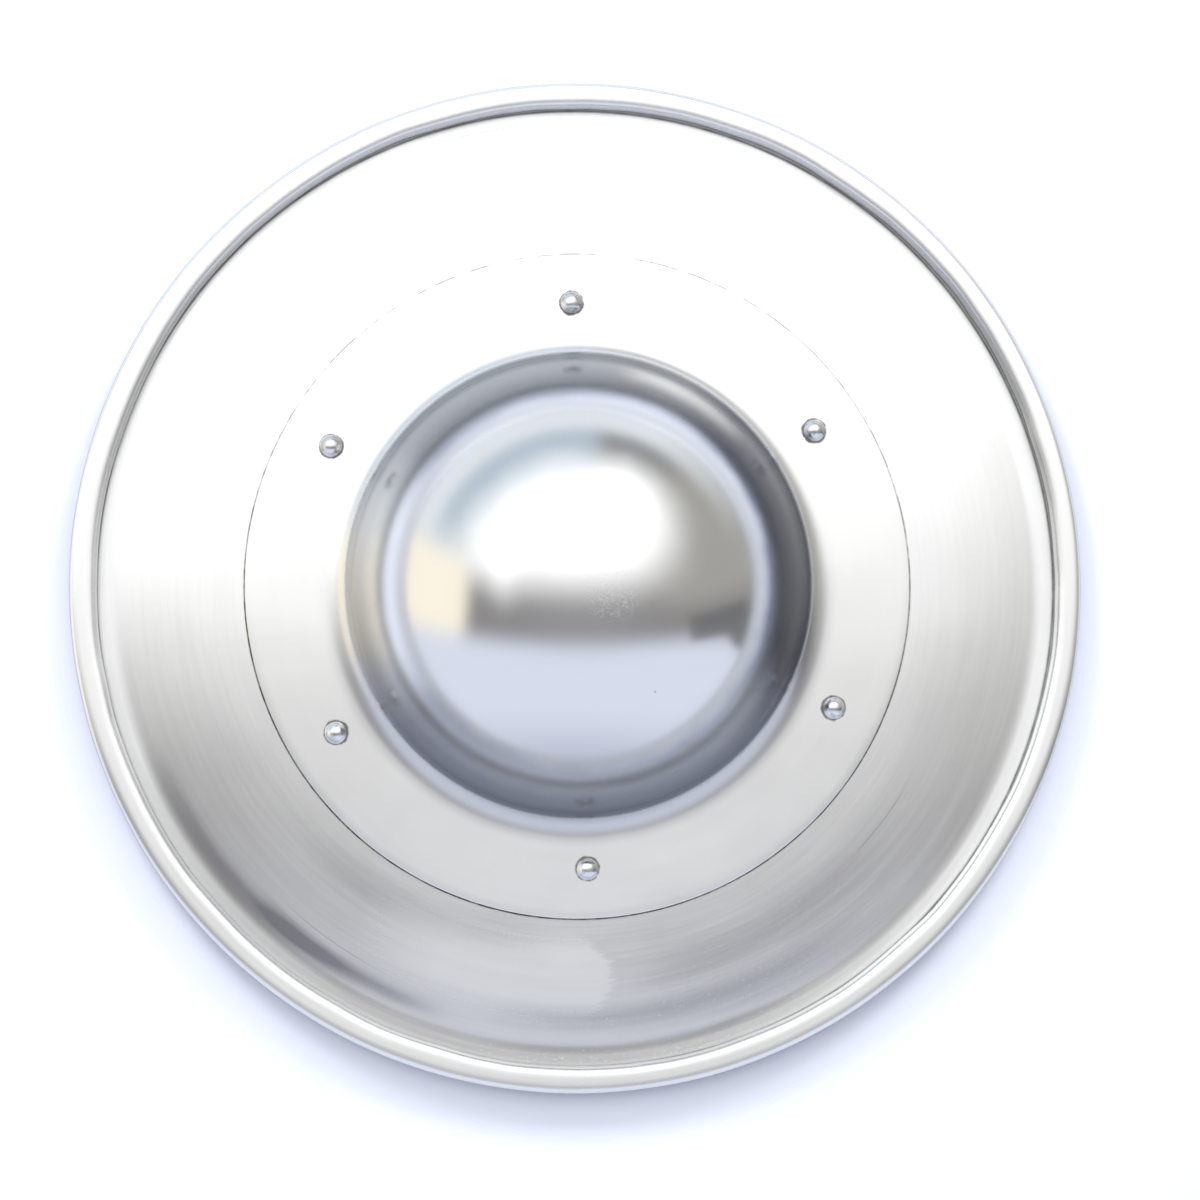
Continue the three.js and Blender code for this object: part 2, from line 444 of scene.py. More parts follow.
def spinning_recipe() -> Recipe:
    """The recipe that spins a section round the axis, makes it handmade and dresses its two sides.

    Returns:
        A recipe whose inputs are the guide circle and its turns; the waves of the outer edge; a band of
        the piece that is set a little off the axis, with waves of its own; the sheet's dents; and the
        two materials, with the radius within which what faces down is the back.
    """
    recipe = Recipe("spun_sheet")
    turns = recipe.taken("Turns", "NodeSocketInt")
    guide = recipe.taken("Guide Radius")
    edge_wave, edge_from, edge_to = (recipe.number(f"Edge {part}") for part in ("Wave", "From", "To"))
    band_from, band_to, band_fade = (recipe.number(f"Band {part}") for part in ("From", "To", "Fade"))
    band_shift = recipe.taken("Band Shift", "NodeSocketVector")
    band_wave = recipe.number("Band Wave")
    dent, dent_size, dents_end = (recipe.number(f"Dents {part}") for part in ("Depth", "Size", "End At"))
    back_ends = recipe.number("Back Ends At")
    front = recipe.taken("Front", "NodeSocketMaterial")
    back = recipe.taken("Back", "NodeSocketMaterial")

    section = recipe.chain("MeshToCurve", recipe.mesh)
    circle = recipe.node("GeometryNodeCurvePrimitiveCircle", None, {"Resolution": turns, "Radius": guide})
    curves = {"Curve": circle.outputs[0], "Profile Curve": section}
    swept = recipe.node("GeometryNodeCurveToMesh", None, curves)
    merged = recipe.chain("MergeByDistance", swept.outputs[0], Distance=TINY)

    position = recipe.node("GeometryNodeInputPosition").outputs[0]
    normal = recipe.node("GeometryNodeInputNormal").outputs[0]
    x, y, _ = recipe.parts(position)
    radius = recipe.length(x, y)
    safe = radius + TINY
    outward = recipe.vector(x / safe, y / safe, 0.0)
    in_edge = ((radius - edge_from) / (edge_to - edge_from)).clamped()
    past_start = ((radius - band_from) / band_fade + 1.0).clamped()
    in_band = past_start * ((band_to - radius) / band_fade + 1.0).clamped()
    waves = (recipe.noise(outward, 2.6, 2.0) - 0.5) * edge_wave * in_edge
    waves = waves + (recipe.noise(outward, 4.3, 2.0) - 0.5) * band_wave * in_band
    inside = ((dents_end - radius) / dent_size + 0.5).clamped()
    cells = recipe.along("DIVIDE", position, recipe.vector(dent_size, dent_size, dent_size))
    lumps = (recipe.noise(cells, 1.0, 1.0) - 0.5) * dent * inside
    offset = recipe.along("ADD", recipe.scaled(outward, waves), recipe.scaled(band_shift, in_band))
    offset = recipe.along("ADD", offset, recipe.vector(0.0, 0.0, lumps))
    moved = recipe.chain("SetPosition", merged, Offset=offset)
    smooth = recipe.chain("SetShadeSmooth", moved)
    dressed = recipe.chain("SetMaterial", smooth, Material=front)
    _, _, facing = recipe.parts(normal)
    behind = (facing < 0.0) * (radius < back_ends)
    recipe.finish(recipe.chain("SetMaterial", dressed, Selection=behind, Material=back))
    return recipe


# ---------------------------------------------------------------------------------------------------
# Finishes
# ---------------------------------------------------------------------------------------------------


class Lathe:
    """Where a point of a spun piece is, as the lathe sees it."""

    REACH = 120.0 * MM  # where a streak has the length that streaks() is asked for

    def __init__(self, graph: Graph) -> None:
        """Reads the point's own coordinates in graph."""
        self.graph = graph
        self.place = graph.node("ShaderNodeTexCoord").outputs["Object"]
        self.x, self.y, self.height = graph.parts(self.place)
        self.radius = graph.length(self.x, self.y)
        safe = self.radius + TINY
        self.across, self.over = self.x / safe, self.y / safe

    def streaks(self, pitch: float, length: float, seed: float = 0.0, detail: float = 3.0) -> Value:
        """Noise from 0 to 1, drawn out along circles round the axis.

        Args:
            pitch: how far apart the streaks are.
            length: how long they are at REACH.
            seed: gives another pattern.
            detail: how many finer layers it has.

        Returns:
            The noise.
        """
        turns = self.REACH / length
        lines = self.graph.vector(self.across * turns, self.over * turns, self.radius / pitch + seed)
        return self.graph.noise(lines, 1.0, detail, 0.55)

    def patches(self, size: float, detail: float = 2.0, rough: float = 0.5) -> Value:
        """Even noise from 0 to 1, with lumps of that size."""
        return self.graph.noise(self.place, 1.0 / size, detail, rough)

    def toward(self, degrees: float) -> Value:
        """The cosine of the angle round the axis between the point and that direction."""
        turn = math.radians(degrees)
        return self.across * math.cos(turn) + self.over * math.sin(turn)

    def specks(self, spacing: float, size: float, share: float) -> Value:
        """Small round specks at random places.

        Args:
            spacing: how far apart they could be.
            size: their radius.
            share: how many of those places hold one, from 0 to 1.

        Returns:
            1 inside a speck, 0 outside.
        """
        cells = self.graph.node("ShaderNodeTexVoronoi", None, {"Vector": self.place, "Scale": 1.0 / spacing})
        kept, _, _ = self.graph.parts(cells.outputs["Color"])
        near = self.graph.value(cells, "Distance").step(size / spacing, 0.5 * size / spacing)
        return near * (kept < share)

    def ring(self, x: float, y: float, radius: float, width: float) -> Value:
        """1 on a circle round (x, y), falling to 0 at width on either side."""
        return self.graph.length(self.x - x, self.y - y).band(radius, width)


def new_material(name: str) -> tuple[bpy.types.Material, Graph]:
    """An empty material of that name, and the graph that builds it."""
    material = bpy.data.materials.new(name)
    material.use_nodes = True
    return material, Graph(material.node_tree)


def metal(
    graph: Graph, colour: object, roughness: object, bump: object, depth: float, grain: float
) -> bpy.types.Node:
    """Adds a metal shader.

    Args:
        graph: the material's graph.
        colour: its base colour.
        roughness: its roughness.
        bump: the height of its grooves and scratches, from 0 to 1.
        depth: how deep that height is.
        grain: how much more it blurs across the grooves than along them.

    Returns:
        The shader node.
    """
    relief = graph.node("ShaderNodeBump", None, {"Strength": 1.0, "Distance": depth, "Height": bump})
    inputs = {
        "Base Color": colour,
        "Metallic": 1.0,
        "Roughness": roughness,
        "Anisotropic": grain,
        "Anisotropic Rotation": 0.25,
        "Normal": relief.outputs[0],
    }
    return graph.node("ShaderNodeBsdfPrincipled", None, inputs)


@dataclass(frozen=True)
class Stray:
    """A long shallow scratch that strays from the circles, part of a circle of its own."""

    x: float
    y: float
    radius: float
    toward: float
    reach: float
    width: float = 0.22 * MM

    def mask(self, lathe: Lathe) -> Value:
        """1 in the scratch, thinning out towards its ends."""
        window = lathe.toward(self.toward).step(math.cos(math.radians(self.reach)), 1.0)
        return lathe.ring(self.x, self.y, self.radius, self.width) * window


@dataclass(frozen=True)
class Stain:
    """A dull stroke along the circles, darker or paler than the steel round it."""

    radius: float
    width: float
    toward: float
    reach: float
    strength: float

    def mask(self, lathe: Lathe, ragged: Value) -> Value:
        """The stroke's strength at a point, its edges broken up by a noise called ragged."""
        window = lathe.toward(self.toward).step(math.cos(math.radians(self.reach)), 1.0)
        across = (lathe.radius + (ragged - 0.5) * self.width * 1.2).band(self.radius, self.width)
        return across * window * self.strength


@dataclass(frozen=True)
class SatinPlate:
    """The plate's front and its rolled edge: steel brushed in circles by hand."""

    seam: float
    roll_from: float
    light: Colour = (0.90, 0.905, 0.905)
    dark: Colour = (0.76, 0.77, 0.78)
    slate: Colour = (0.34, 0.34, 0.36)
    # Darkens the seams: partly grime, partly painted shade in their gaps.
    seam_dark: Colour = (0.11, 0.11, 0.09)
    stroked: Colour = (0.98, 0.98, 0.96)
    speckled: Colour = (0.9, 0.9, 0.9)
    scratched: Colour = (0.35, 0.34, 0.33)
    roughness: float = 0.25
    grain: float = 0.85
    strays: tuple[Stray, ...] = (
        Stray(1.5 * MM, -4.0 * MM, 145.3 * MM, 104.0, 14.0),
        Stray(-2.0 * MM, 1.0 * MM, 141.5 * MM, 146.0, 6.0),
        Stray(3.0 * MM, 2.0 * MM, 133.0 * MM, 236.0, 9.0),
        Stray(-4.0 * MM, 3.0 * MM, 121.0 * MM, 322.0, 7.0),
    )
    stains: tuple[Stain, ...] = (
        Stain(136.5 * MM, 6.0 * MM, 221.0, 22.0, 0.75),
        Stain(135.0 * MM, 5.0 * MM, 238.0, 16.0, 0.7),
        Stain(131.0 * MM, 7.0 * MM, 284.0, 30.0, 0.45),
        Stain(139.5 * MM, 3.0 * MM, 278.0, 24.0, 0.4),
        Stain(110.0 * MM, 8.0 * MM, 242.0, 26.0, 0.3),
        Stain(118.0 * MM, 9.0 * MM, 300.0, 24.0, 0.3),
        Stain(143.0 * MM, 4.5 * MM, 252.0, 75.0, 0.5),
    )

    def _stroke(self, lathe: Lathe, ragged: Value) -> Value:
        """1 in the pale patch where the last stroke of the brush stopped, short of the bottom."""
        along = lathe.x - ((lathe.radius - 119.0 * MM) / (9.0 * MM)).absolute() ** 2.0 * -3.5 * MM
        end = (along + (ragged - 0.5) * 12.0 * MM).step(12.0 * MM, 8.0 * MM)
        across = lathe.radius.between(113.0 * MM, 122.0 * MM, 11.0 * MM)
        return end * across * lathe.toward(260.0).step(0.9, 0.99)

    def build(self) -> bpy.types.Material:
        """Builds the material."""
        material, graph = new_material("plate_satin")
        lathe = Lathe(graph)
        fine, middling = lathe.streaks(0.3 * MM, 26.0 * MM), lathe.streaks(1.3 * MM, 50.0 * MM, 7.0)
        broad = lathe.streaks(7.0 * MM, 75.0 * MM, 19.0)
        patchy = lathe.patches(32.0 * MM, 3.0)
        speckle = lathe.patches(0.7 * MM, 1.0)
        breaks = lathe.patches(5.0 * MM, 3.0, 0.7)
        worn = (broad * 0.5 + patchy * 0.5 + (middling - 0.5) * 0.5).clamped()
        stained = sum((stain.mask(lathe, broad) for stain in self.stains), 0.0).clamped()
        stroke = self._stroke(lathe, middling)
        scored = sum((stray.mask(lathe) for stray in self.strays), 0.0)
        # The dark lines at the flange's edge and under the rolled edge are partly grime and partly painted
        # shade: the shadow in the gaps there, stronger in the lower half.
        low_half = lathe.toward(262.0).step(-0.5, 0.5) * 0.7 + 0.15
        by_flange = lathe.radius.band(self.seam + 0.2 * MM, 0.5 * MM)
        by_flange = by_flange * (breaks.step(0.4, 0.62) * 0.4 + low_half)
        by_roll = lathe.radius.band(self.roll_from + 0.1 * MM, 0.65 * MM)
        by_roll = by_roll * lathe.height.step(2.6 * MM, 1.6 * MM)
        seam_darkening = (by_flange + by_roll * (breaks * 0.8 + 0.3).clamped()).clamped()
        in_shade = lathe.toward(290.0).step(0.55, 0.95)
        # Painted shade: the rolled edge's outer side, below its top, is darkened towards slate so that it
        # shows as a grey outline.
        outside = lathe.radius.step(self.roll_from + 5.0 * MM, self.roll_from + 6.0 * MM)
        outline_shade = outside * lathe.height.step(7.3 * MM, 6.3 * MM)
        colour = graph.mix(worn, self.dark, self.light)
        colour = graph.mix((stained * (broad * 0.5 + 0.75)).clamped(), colour, self.slate)
        colour = graph.mix(stroke * 0.32, colour, self.stroked)
        colour = graph.mix((speckle.step(0.62, 0.75) * in_shade * 0.5).clamped(), colour, self.speckled)
        colour = graph.mix((scored * 0.5).clamped(), colour, self.scratched)
        colour = graph.mix(outline_shade * 0.75, colour, self.slate)
        colour = graph.mix(seam_darkening, colour, self.seam_dark)
        rough = self.roughness + (worn - 0.5) * 0.06 + (fine - 0.5) * 0.05 + stroke * 0.06 + seam_darkening * 0.3
        height = fine * 0.5 + middling * 0.3 + speckle * 0.12 - scored * 0.6
        shader = metal(graph, colour, rough, height, 0.010 * MM, self.grain)
        graph.surface(shader)
        return material


@dataclass(frozen=True)
class PolishedBoss:
    """The boss's front: a dome polished nearly to a mirror, and a flange brushed in circles."""

    dome_at: Point
    base: float
    polish_ends: float
    flange_starts: float
    rivets: tuple[Point, ...]
    head: float
    light: Colour = (0.90, 0.905, 0.905)
    dark: Colour = (0.82, 0.825, 0.83)
    polished: Colour = (0.75, 0.755, 0.76)
    # The colour of the painted shade on the dome's foot and the fillet.
    shade_dark: Colour = (0.10, 0.11, 0.15)
    seam_dark: Colour = (0.13, 0.12, 0.10)
    pit: Colour = (0.16, 0.15, 0.15)
    # Where the painted shade on the dome's foot rises, in two steps, and how deep it may go.
    shade_from: float = 51.5 * MM
    shade_to: float = 56.5 * MM
    deep_from: float = 61.0 * MM
    deep_to: float = 66.0 * MM
    deepest_shade: float = 0.87
    dome_roughness: float = 0.15
    flange_roughness: float = 0.29
    grain: float = 0.85

    def _hairlines(self, lathe: Lathe) -> Value:
        """Fine straight scratches that cross each other in every direction."""
        graph, total = lathe.graph, None
        for k in range(6):
            turn = math.radians(17.0 + 31.0 * k)
            u = lathe.x * math.cos(turn) + lathe.y * math.sin(turn)
            v = lathe.y * math.cos(turn) - lathe.x * math.sin(turn)
            wander = lathe.patches(6.0 * MM, 0.0) * 0.5
            lines = graph.vector(u / (3.5 * MM), v / (0.16 * MM) + wander, 11.0 * k)
            scratch = graph.noise(lines, 1.0, 0.0).step(0.70, 0.78)
            total = scratch if total is None else total + scratch
        return total.clamped()

    def _foot_shade(self, lathe: Lathe, haze: Value) -> Value:
        """How much painted shade lies on the dome's foot, from 0 to 1: most at the bottom and right, less at
        the left, lifted by a painted highlight towards the upper right.
        """
        off_dome = lathe.graph.length(lathe.x - self.dome_at[0], lathe.y - self.dome_at[1])
        radius = off_dome + (haze - 0.5) * 2.0 * MM
        foot_band = radius.step(self.shade_from, self.shade_to)
        low_side = lathe.toward(290.0).step(-0.2, 0.7)
        at_right = foot_band * lathe.toward(12.0).step(0.6, 0.95) * 0.3
        deep = radius.step(self.deep_from, self.deep_to)
        less_at_left = 1.0 - lathe.toward(180.0).step(0.75, 0.985) * (1.0 - deep * 0.5)
        gleam = radius.band(64.0 * MM, 4.0 * MM) * lathe.toward(60.0).step(0.93, 0.995) * 0.4
        foot = (foot_band * 0.6 + deep * (low_side * 0.18 + 0.05)) * less_at_left
        on_dome = (foot + at_right - gleam).least(self.deepest_shade)
        on_dome = on_dome * off_dome.step(self.base + 0.9 * MM, self.base - 0.6 * MM)
        on_fillet = off_dome.between(self.base, self.base + 4.0 * MM, 5.0 * MM) * 0.3
        return on_dome.most(on_fillet * lathe.toward(275.0).step(-0.4, 0.6))

    def build(self) -> bpy.types.Material:
        """Builds the material."""
        material, graph = new_material("boss_polished")
        lathe = Lathe(graph)
        fine, broad = lathe.streaks(0.3 * MM, 22.0 * MM, 3.0), lathe.streaks(6.0 * MM, 60.0 * MM, 29.0)
        haze = lathe.patches(14.0 * MM, 3.0)
        breaks = lathe.patches(2.2 * MM, 3.0, 0.7)
        flange = lathe.radius.step(self.polish_ends, self.flange_starts)
        hairs = self._hairlines(lathe)
        scuffed = graph.length(lathe.x - 8.0 * MM, lathe.y + 5.0 * MM).step(11.0 * MM, 3.0 * MM)
        pits = lathe.specks(9.0 * MM, 0.3 * MM, 0.35)
        nearest = None
        for x, y in self.rivets:
            away = graph.length(lathe.x - x, lathe.y - y)
            nearest = away if nearest is None else nearest.least(away)
        round_rivets = (nearest + (breaks - 0.5) * 1.4 * MM).step(self.head + 0.6 * MM, self.head)
        seam_darkening = (round_rivets * 0.8).clamped()
        worn = (broad * 0.6 + haze * 0.4).clamped()
        # Painted shade darkens the dome's foot and the fillet, in both the satin and the polished finish.
        foot_shade = self._foot_shade(lathe, haze)
        satin_colour = graph.mix(foot_shade, graph.mix(worn, self.dark, self.light), self.shade_dark)
        satin_colour = graph.mix(seam_darkening, satin_colour, self.seam_dark)
        satin_rough = self.flange_roughness + (worn - 0.5) * 0.06 + (fine - 0.5) * 0.05 + seam_darkening * 0.25
        satin = metal(graph, satin_colour, satin_rough, fine * 0.6 + broad * 0.3, 0.009 * MM, self.grain)
        marks = (hairs * (scuffed * 0.85 + 0.08)).clamped()
        clean_colour = graph.mix(foot_shade, self.polished, self.shade_dark)
        clean_colour = graph.mix(pits, clean_colour, self.pit)
        worn_top = lathe.radius.step(34.0 * MM, 10.0 * MM) * 0.07
        worn_foot = lathe.radius.step(50.0 * MM, 62.0 * MM) * 0.06
        clean_rough = self.dome_roughness + worn_top + worn_foot + (haze - 0.5) * 0.05 + marks * 0.2
        clean = metal(graph, clean_colour, clean_rough, 1.0 - marks * 0.5 - pits, 0.006 * MM, 0.0)
        both = graph.node("ShaderNodeMixShader", None, {0: flange, 1: clean.outputs[0], 2: satin.outputs[0]})
        graph.surface(both)
        return material


@dataclass(frozen=True)
class MillBack:
    """Sheet steel as it came from the mill, dull and blotchy, with the marks of the hammer."""

    name: str
    light: Colour = (0.50, 0.50, 0.50)
    dark: Colour = (0.30, 0.29, 0.28)
    tinge: Colour = (0.30, 0.21, 0.14)
    roughness: float = 0.46

    def build(self) -> bpy.types.Material:
        """Builds the material."""
        material, graph = new_material(self.name)
        lathe = Lathe(graph)
        blotch = lathe.patches(24.0 * MM, 5.0, 0.6)
        mottle = lathe.patches(3.0 * MM, 4.0, 0.6)
        lines = graph.vector(lathe.x / (22.0 * MM), lathe.y / (0.8 * MM), lathe.height)
        rolled = graph.noise(lines, 1.0, 3.0)
        colour = graph.mix((blotch * 0.7 + rolled * 0.3).clamped(), self.dark, self.light)
        colour = graph.mix(blotch.step(0.56, 0.72) * mottle.step(0.42, 0.66) * 0.5, colour, self.tinge)
        rough = self.roughness + (mottle - 0.5) * 0.2 + (blotch - 0.5) * 0.1
        shader = metal(graph, colour, rough, mottle * 0.6 + rolled * 0.4, 0.03 * MM, 0.0)
        graph.surface(shader)
        return material


@dataclass(frozen=True)
class RivetSteel:
    """The rivets: bright round heads with the marks of the snap, darker tails."""

    head_from: float
    light: Colour = (0.74, 0.75, 0.77)
    dark: Colour = (0.38, 0.38, 0.39)
    roughness: float = 0.22

    def build(self) -> bpy.types.Material:
        """Builds the material."""
        material, graph = new_material("rivet_steel")
        lathe = Lathe(graph)
        tiny, small = lathe.patches(0.5 * MM, 3.0, 0.6), lathe.patches(1.8 * MM, 2.0)
        front = lathe.height.step(self.head_from - 2.0 * MM, self.head_from)
        worn = (small.step(0.3, 0.6) * 0.7 + front * 0.5).clamped()
        colour = graph.mix(worn, self.dark, self.light)
        rough = self.roughness + (small - 0.5) * 0.12 + (tiny - 0.5) * 0.1 + (1.0 - front) * 0.2
        shader = metal(graph, colour, rough, tiny * 0.5 + small * 0.5, 0.05 * MM, 0.0)
        graph.surface(shader)
        return material


@dataclass(frozen=True)
class BrushedStrap:
    """The grip: a steel strap brushed along its length, darker where it is seldom touched."""

    light: Colour = (0.58, 0.58, 0.58)
    dark: Colour = (0.36, 0.355, 0.35)
    roughness: float = 0.38

    def build(self) -> bpy.types.Material:
        """Builds the material."""
        material, graph = new_material("grip_brushed")
        lathe = Lathe(graph)
        lines = graph.vector(lathe.x / (0.35 * MM), lathe.y / (30.0 * MM), lathe.height / (0.35 * MM))
        brushed = graph.noise(lines, 1.0, 3.0, 0.6)
        blotch = lathe.patches(15.0 * MM, 4.0, 0.6)
        held = lathe.y.absolute().step(70.0 * MM, 35.0 * MM)
        colour = graph.mix((brushed * 0.4 + blotch * 0.35 + held * 0.25).clamped(), self.dark, self.light)
        rough = self.roughness + (brushed - 0.5) * 0.12 + (blotch - 0.5) * 0.1 - held * 0.06
        shader = metal(graph, colour, rough, brushed * 0.7 + blotch * 0.3, 0.02 * MM, 0.0)
        graph.surface(shader)
        return material


# ---------------------------------------------------------------------------------------------------
# The shield
# ---------------------------------------------------------------------------------------------------


@dataclass(frozen=True)
class Dish:
    """The section that the plate's front follows: a nearly flat crown, a shoulder and a flat lip."""

    sheet: float = 1.2 * MM
    gap: float = 0.3 * MM
    crown_r: float = 1150.0 * MM
    crown_edge: float = 100.0 * MM
    shoulder_r: float = 260.0 * MM
    turn_r: float = 14.0 * MM
    lip: float = 141.2 * MM

    @property
    def crown_slope(self) -> float:
        """The slope where the crown meets the shoulder."""
        return math.degrees(math.asin(self.crown_edge / self.crown_r))

    @property
    def shoulder_x(self) -> float:
        """How far from the axis the shoulder's centre is."""
        return (self.crown_r - self.shoulder_r) * self.crown_edge / self.crown_r

    @property
    def lip_slope(self) -> float:
        """The slope where the shoulder meets the turn to the lip."""
        return math.degrees(math.asin((self.lip - self.shoulder_x) / (self.shoulder_r + self.turn_r)))

    @property
    def shoulder_z(self) -> float:
        """The height of the shoulder's centre."""
        drop = (self.shoulder_r + self.turn_r) * math.cos(math.radians(self.lip_slope))
        return self.sheet + self.turn_r - drop

    @property
    def crown_z(self) -> float:
        """The height of the crown's centre."""
        return self.shoulder_z - (self.crown_r - self.shoulder_r) * math.cos(math.radians(self.crown_slope))

    def crown_at(self, radius: float, lift: float) -> tuple[float, float]:
        """The crown's slope and height at a radius, on a face that lies lift above the plate's front."""
        reach = self.crown_r + lift
        slope = math.asin(radius / reach)
        return math.degrees(slope), self.crown_z + reach * math.cos(slope)

    def face(self, offset: float, inner: float) -> list[Point]:
        """One face of the plate.

        Args:
            offset: how far behind the front face it lies.
            inner: where it starts, at the hole's edge.

        Returns:
            Its section from there to the lip.
        """
        start, _ = self.crown_at(inner, -offset)
        crown = rise(0.0, self.crown_z, self.crown_r - offset, start, self.crown_slope, 0.15)
        shoulder = rise(
            self.shoulder_x, self.shoulder_z, self.shoulder_r - offset, self.crown_slope, self.lip_slope, 0.6
        )
        turn = arc(
            self.lip, self.sheet + self.turn_r, self.turn_r + offset, -90.0 - self.lip_slope, -90.0, 1.2
        )
        return crown + shoulder[1:] + turn[1:]


def finish_piece(piece: bpy.types.Object, slot: str, *nodes: str) -> None:
    """Hands a finished piece to the frame.

    Args:
        piece: the piece.
        slot: the record's material slot; not used.
        nodes: the nodes that it stands for.
    """
    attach(piece, BODY)
    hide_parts(*nodes)
    piece.data.calc_loop_triangles()
    log.info("%s: %d triangles, for %s", piece.name, len(piece.data.loop_triangles), ", ".join(nodes))


@dataclass
class Plate:
    """The dished plate with its edge rolled over to the front."""

    dish: Dish
    turns: int = 288
    guide: float = 100.0 * MM
    hole: float = 68.0 * MM
    roll_r: float = 3.9 * MM
    roll_end: float = 217.5
    flange: float = 99.9 * MM
    cut_ease: float = 0.25 * MM
    squareness: float = 3.6
    edge_wave: float = 0.7 * MM
    seam_wave: float = 1.5 * MM
    seam_shift: tuple[float, float, float] = (0.3 * MM, 0.45 * MM, 0.0)
    dent: float = 0.22 * MM
    dent_size: float = 34.0 * MM

    def section(self) -> list[Point]:
        """The closed section: back, roll outside, roll inside, front."""
        low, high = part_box("plate")
        roll_x = (high.y - low.y) / 2.0 - self.roll_r
        inside = self.roll_r - self.dish.sheet
        back = self.dish.face(self.dish.sheet, self.hole)
        outer = arc(roll_x, self.roll_r, self.roll_r, -90.0, self.roll_end, 5.0)
        inner = arc(roll_x, self.roll_r, inside, self.roll_end, -90.0, 7.0)
        outer, inner = (flattened(part, roll_x, self.roll_r, self.squareness) for part in (outer, inner))
        front = self.dish.face(0.0, self.hole)[::-1]
        end = len(back) + len(outer)
        points = back + outer + inner + front
        return eased(points, (0, end - 1, end, len(points) - 1), self.cut_ease)

    def build(self, recipe: Recipe) -> bpy.types.Object:
        """Spins the plate.

        Args:
            recipe: the spinning recipe.

        Returns:
            The finished piece.
        """
        low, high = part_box("plate")
        roll_x = (high.y - low.y) / 2.0 - self.roll_r
        front = SatinPlate(seam=self.flange, roll_from=roll_x - self.roll_r).build()
        settings = {
            "Turns": self.turns,
            "Guide Radius": self.guide,
            "Edge Wave": self.edge_wave,
            "Edge From": self.dish.lip,
            "Edge To": roll_x - self.roll_r,
            "Band From": roll_x - self.roll_r,
            "Band To": roll_x - self.roll_r / 2.0,
            "Band Fade": self.roll_r,
            "Band Shift": self.seam_shift,
            "Band Wave": self.seam_wave,
            "Dents Depth": self.dent,
            "Dents Size": self.dent_size,
            "Dents End At": self.dish.lip - self.dent_size / 2.0,
            "Back Ends At": roll_x,
            "Front": front,
            "Back": MillBack("plate_back").build(),
        }
        mesh = section_mesh("plate_section", self.section(), True, self.guide)
        piece = recipe.make("plate_shell", mesh, settings)
        finish_piece(piece, "plate_steel", "plate")
        return piece


@dataclass
class Boss:
    """The domed boss and its flange, one sheet."""

    dish: Dish
    turns: int = 288
    guide: float = 100.0 * MM
    dome_r: float = 72.5 * MM
    fillet_r: float = 9.0 * MM
    dome_foot: float = 69.6 * MM
    polish_ends: float = 68.8 * MM
    flange_starts: float = 73.5 * MM
    flange: float = 99.9 * MM
    cut_ease: float = 0.35 * MM
    edge_wave: float = 0.24 * MM
    dome_shift: tuple[float, float, float] = (0.0, -0.2 * MM, 0.0)
    dent: float = 0.22 * MM
    dent_size: float = 34.0 * MM

    def face(self, offset: float) -> list[Point]:
        """One face, offset back from the front face, from the top to the flange's edge."""
        dish = self.dish
        lift = dish.gap + dish.sheet
        dome_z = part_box("boss")[1].z - self.dome_r
        # The fillet's centre is its own radius away from the dome and from the flange.
        apart = dome_z - dish.crown_z
        to_flange = dish.crown_r + lift + self.fillet_r
        to_dome = self.dome_r + self.fillet_r
        along = (to_flange**2 - to_dome**2 + apart**2) / (2.0 * apart)
        fillet_x = math.sqrt(to_flange**2 - along**2)
        fillet_z = dish.crown_z + along
        dome_slope = math.degrees(math.atan2(fillet_x, fillet_z - dome_z))
        flange_slope = math.degrees(math.asin(fillet_x / to_flange))
        edge_slope, _ = dish.crown_at(self.flange, lift)
        dome = rise(0.0, dome_z, self.dome_r - offset, 0.0, dome_slope, 1.5)
        fillet = arc(
            fillet_x, fillet_z, self.fillet_r + offset, -90.0 - dome_slope, -90.0 - flange_slope, 5.0
        )
        flat = rise(0.0, dish.crown_z, dish.crown_r + lift - offset, flange_slope, edge_slope, 0.15)
        return dome + fillet[1:] + flat[1:]

    def section(self) -> list[Point]:
        """The section: from the axis along the inside to the edge, and back along the front."""
        inner, outer = self.face(self.dish.sheet), self.face(0.0)[::-1]
        inner[0], outer[-1] = (0.0, inner[0][1]), (0.0, outer[-1][1])
        return eased(inner + outer, (len(inner) - 1, len(inner)), self.cut_ease)

    def build(self, recipe: Recipe, rivets: "Rivets") -> bpy.types.Object:
        """Spins the boss.

        Args:
            recipe: the spinning recipe.
            rivets: the rivets that its flange is marked by.

        Returns:
            The finished piece.
        """
        front = PolishedBoss(
            dome_at=(self.dome_shift[0], self.dome_shift[1]),
            base=self.dome_foot,
            polish_ends=self.polish_ends,
            flange_starts=self.flange_starts,
            rivets=tuple((p.x, p.y) for p in rivets.seats()),
            head=rivets.head_r,
        )
        settings = {
            "Turns": self.turns,
            "Guide Radius": self.guide,
            "Edge Wave": self.edge_wave,
            "Edge From": self.flange - 2.0 * self.fillet_r,
            "Edge To": self.flange,
            "Band From": 0.0,
            "Band To": self.dome_r,
            "Band Fade": self.fillet_r,
            "Band Shift": self.dome_shift,
            "Band Wave": 0.0,
            "Dents Depth": self.dent,
            "Dents Size": self.dent_size,
            "Dents End At": self.flange + self.dent_size,
            "Back Ends At": self.flange + self.dent_size,
            "Front": front.build(),
            "Back": MillBack("boss_inside").build(),
        }
        mesh = section_mesh("boss_section", self.section(), False, self.guide)
        piece = recipe.make("boss_shell", mesh, settings)
        finish_piece(piece, "boss_steel", "boss")
        return piece


class RivetKind(Enum):
    """What a rivet holds."""

    PLATE = "the flange to the plate"
    GRIP = "the flange and the grip to the plate"


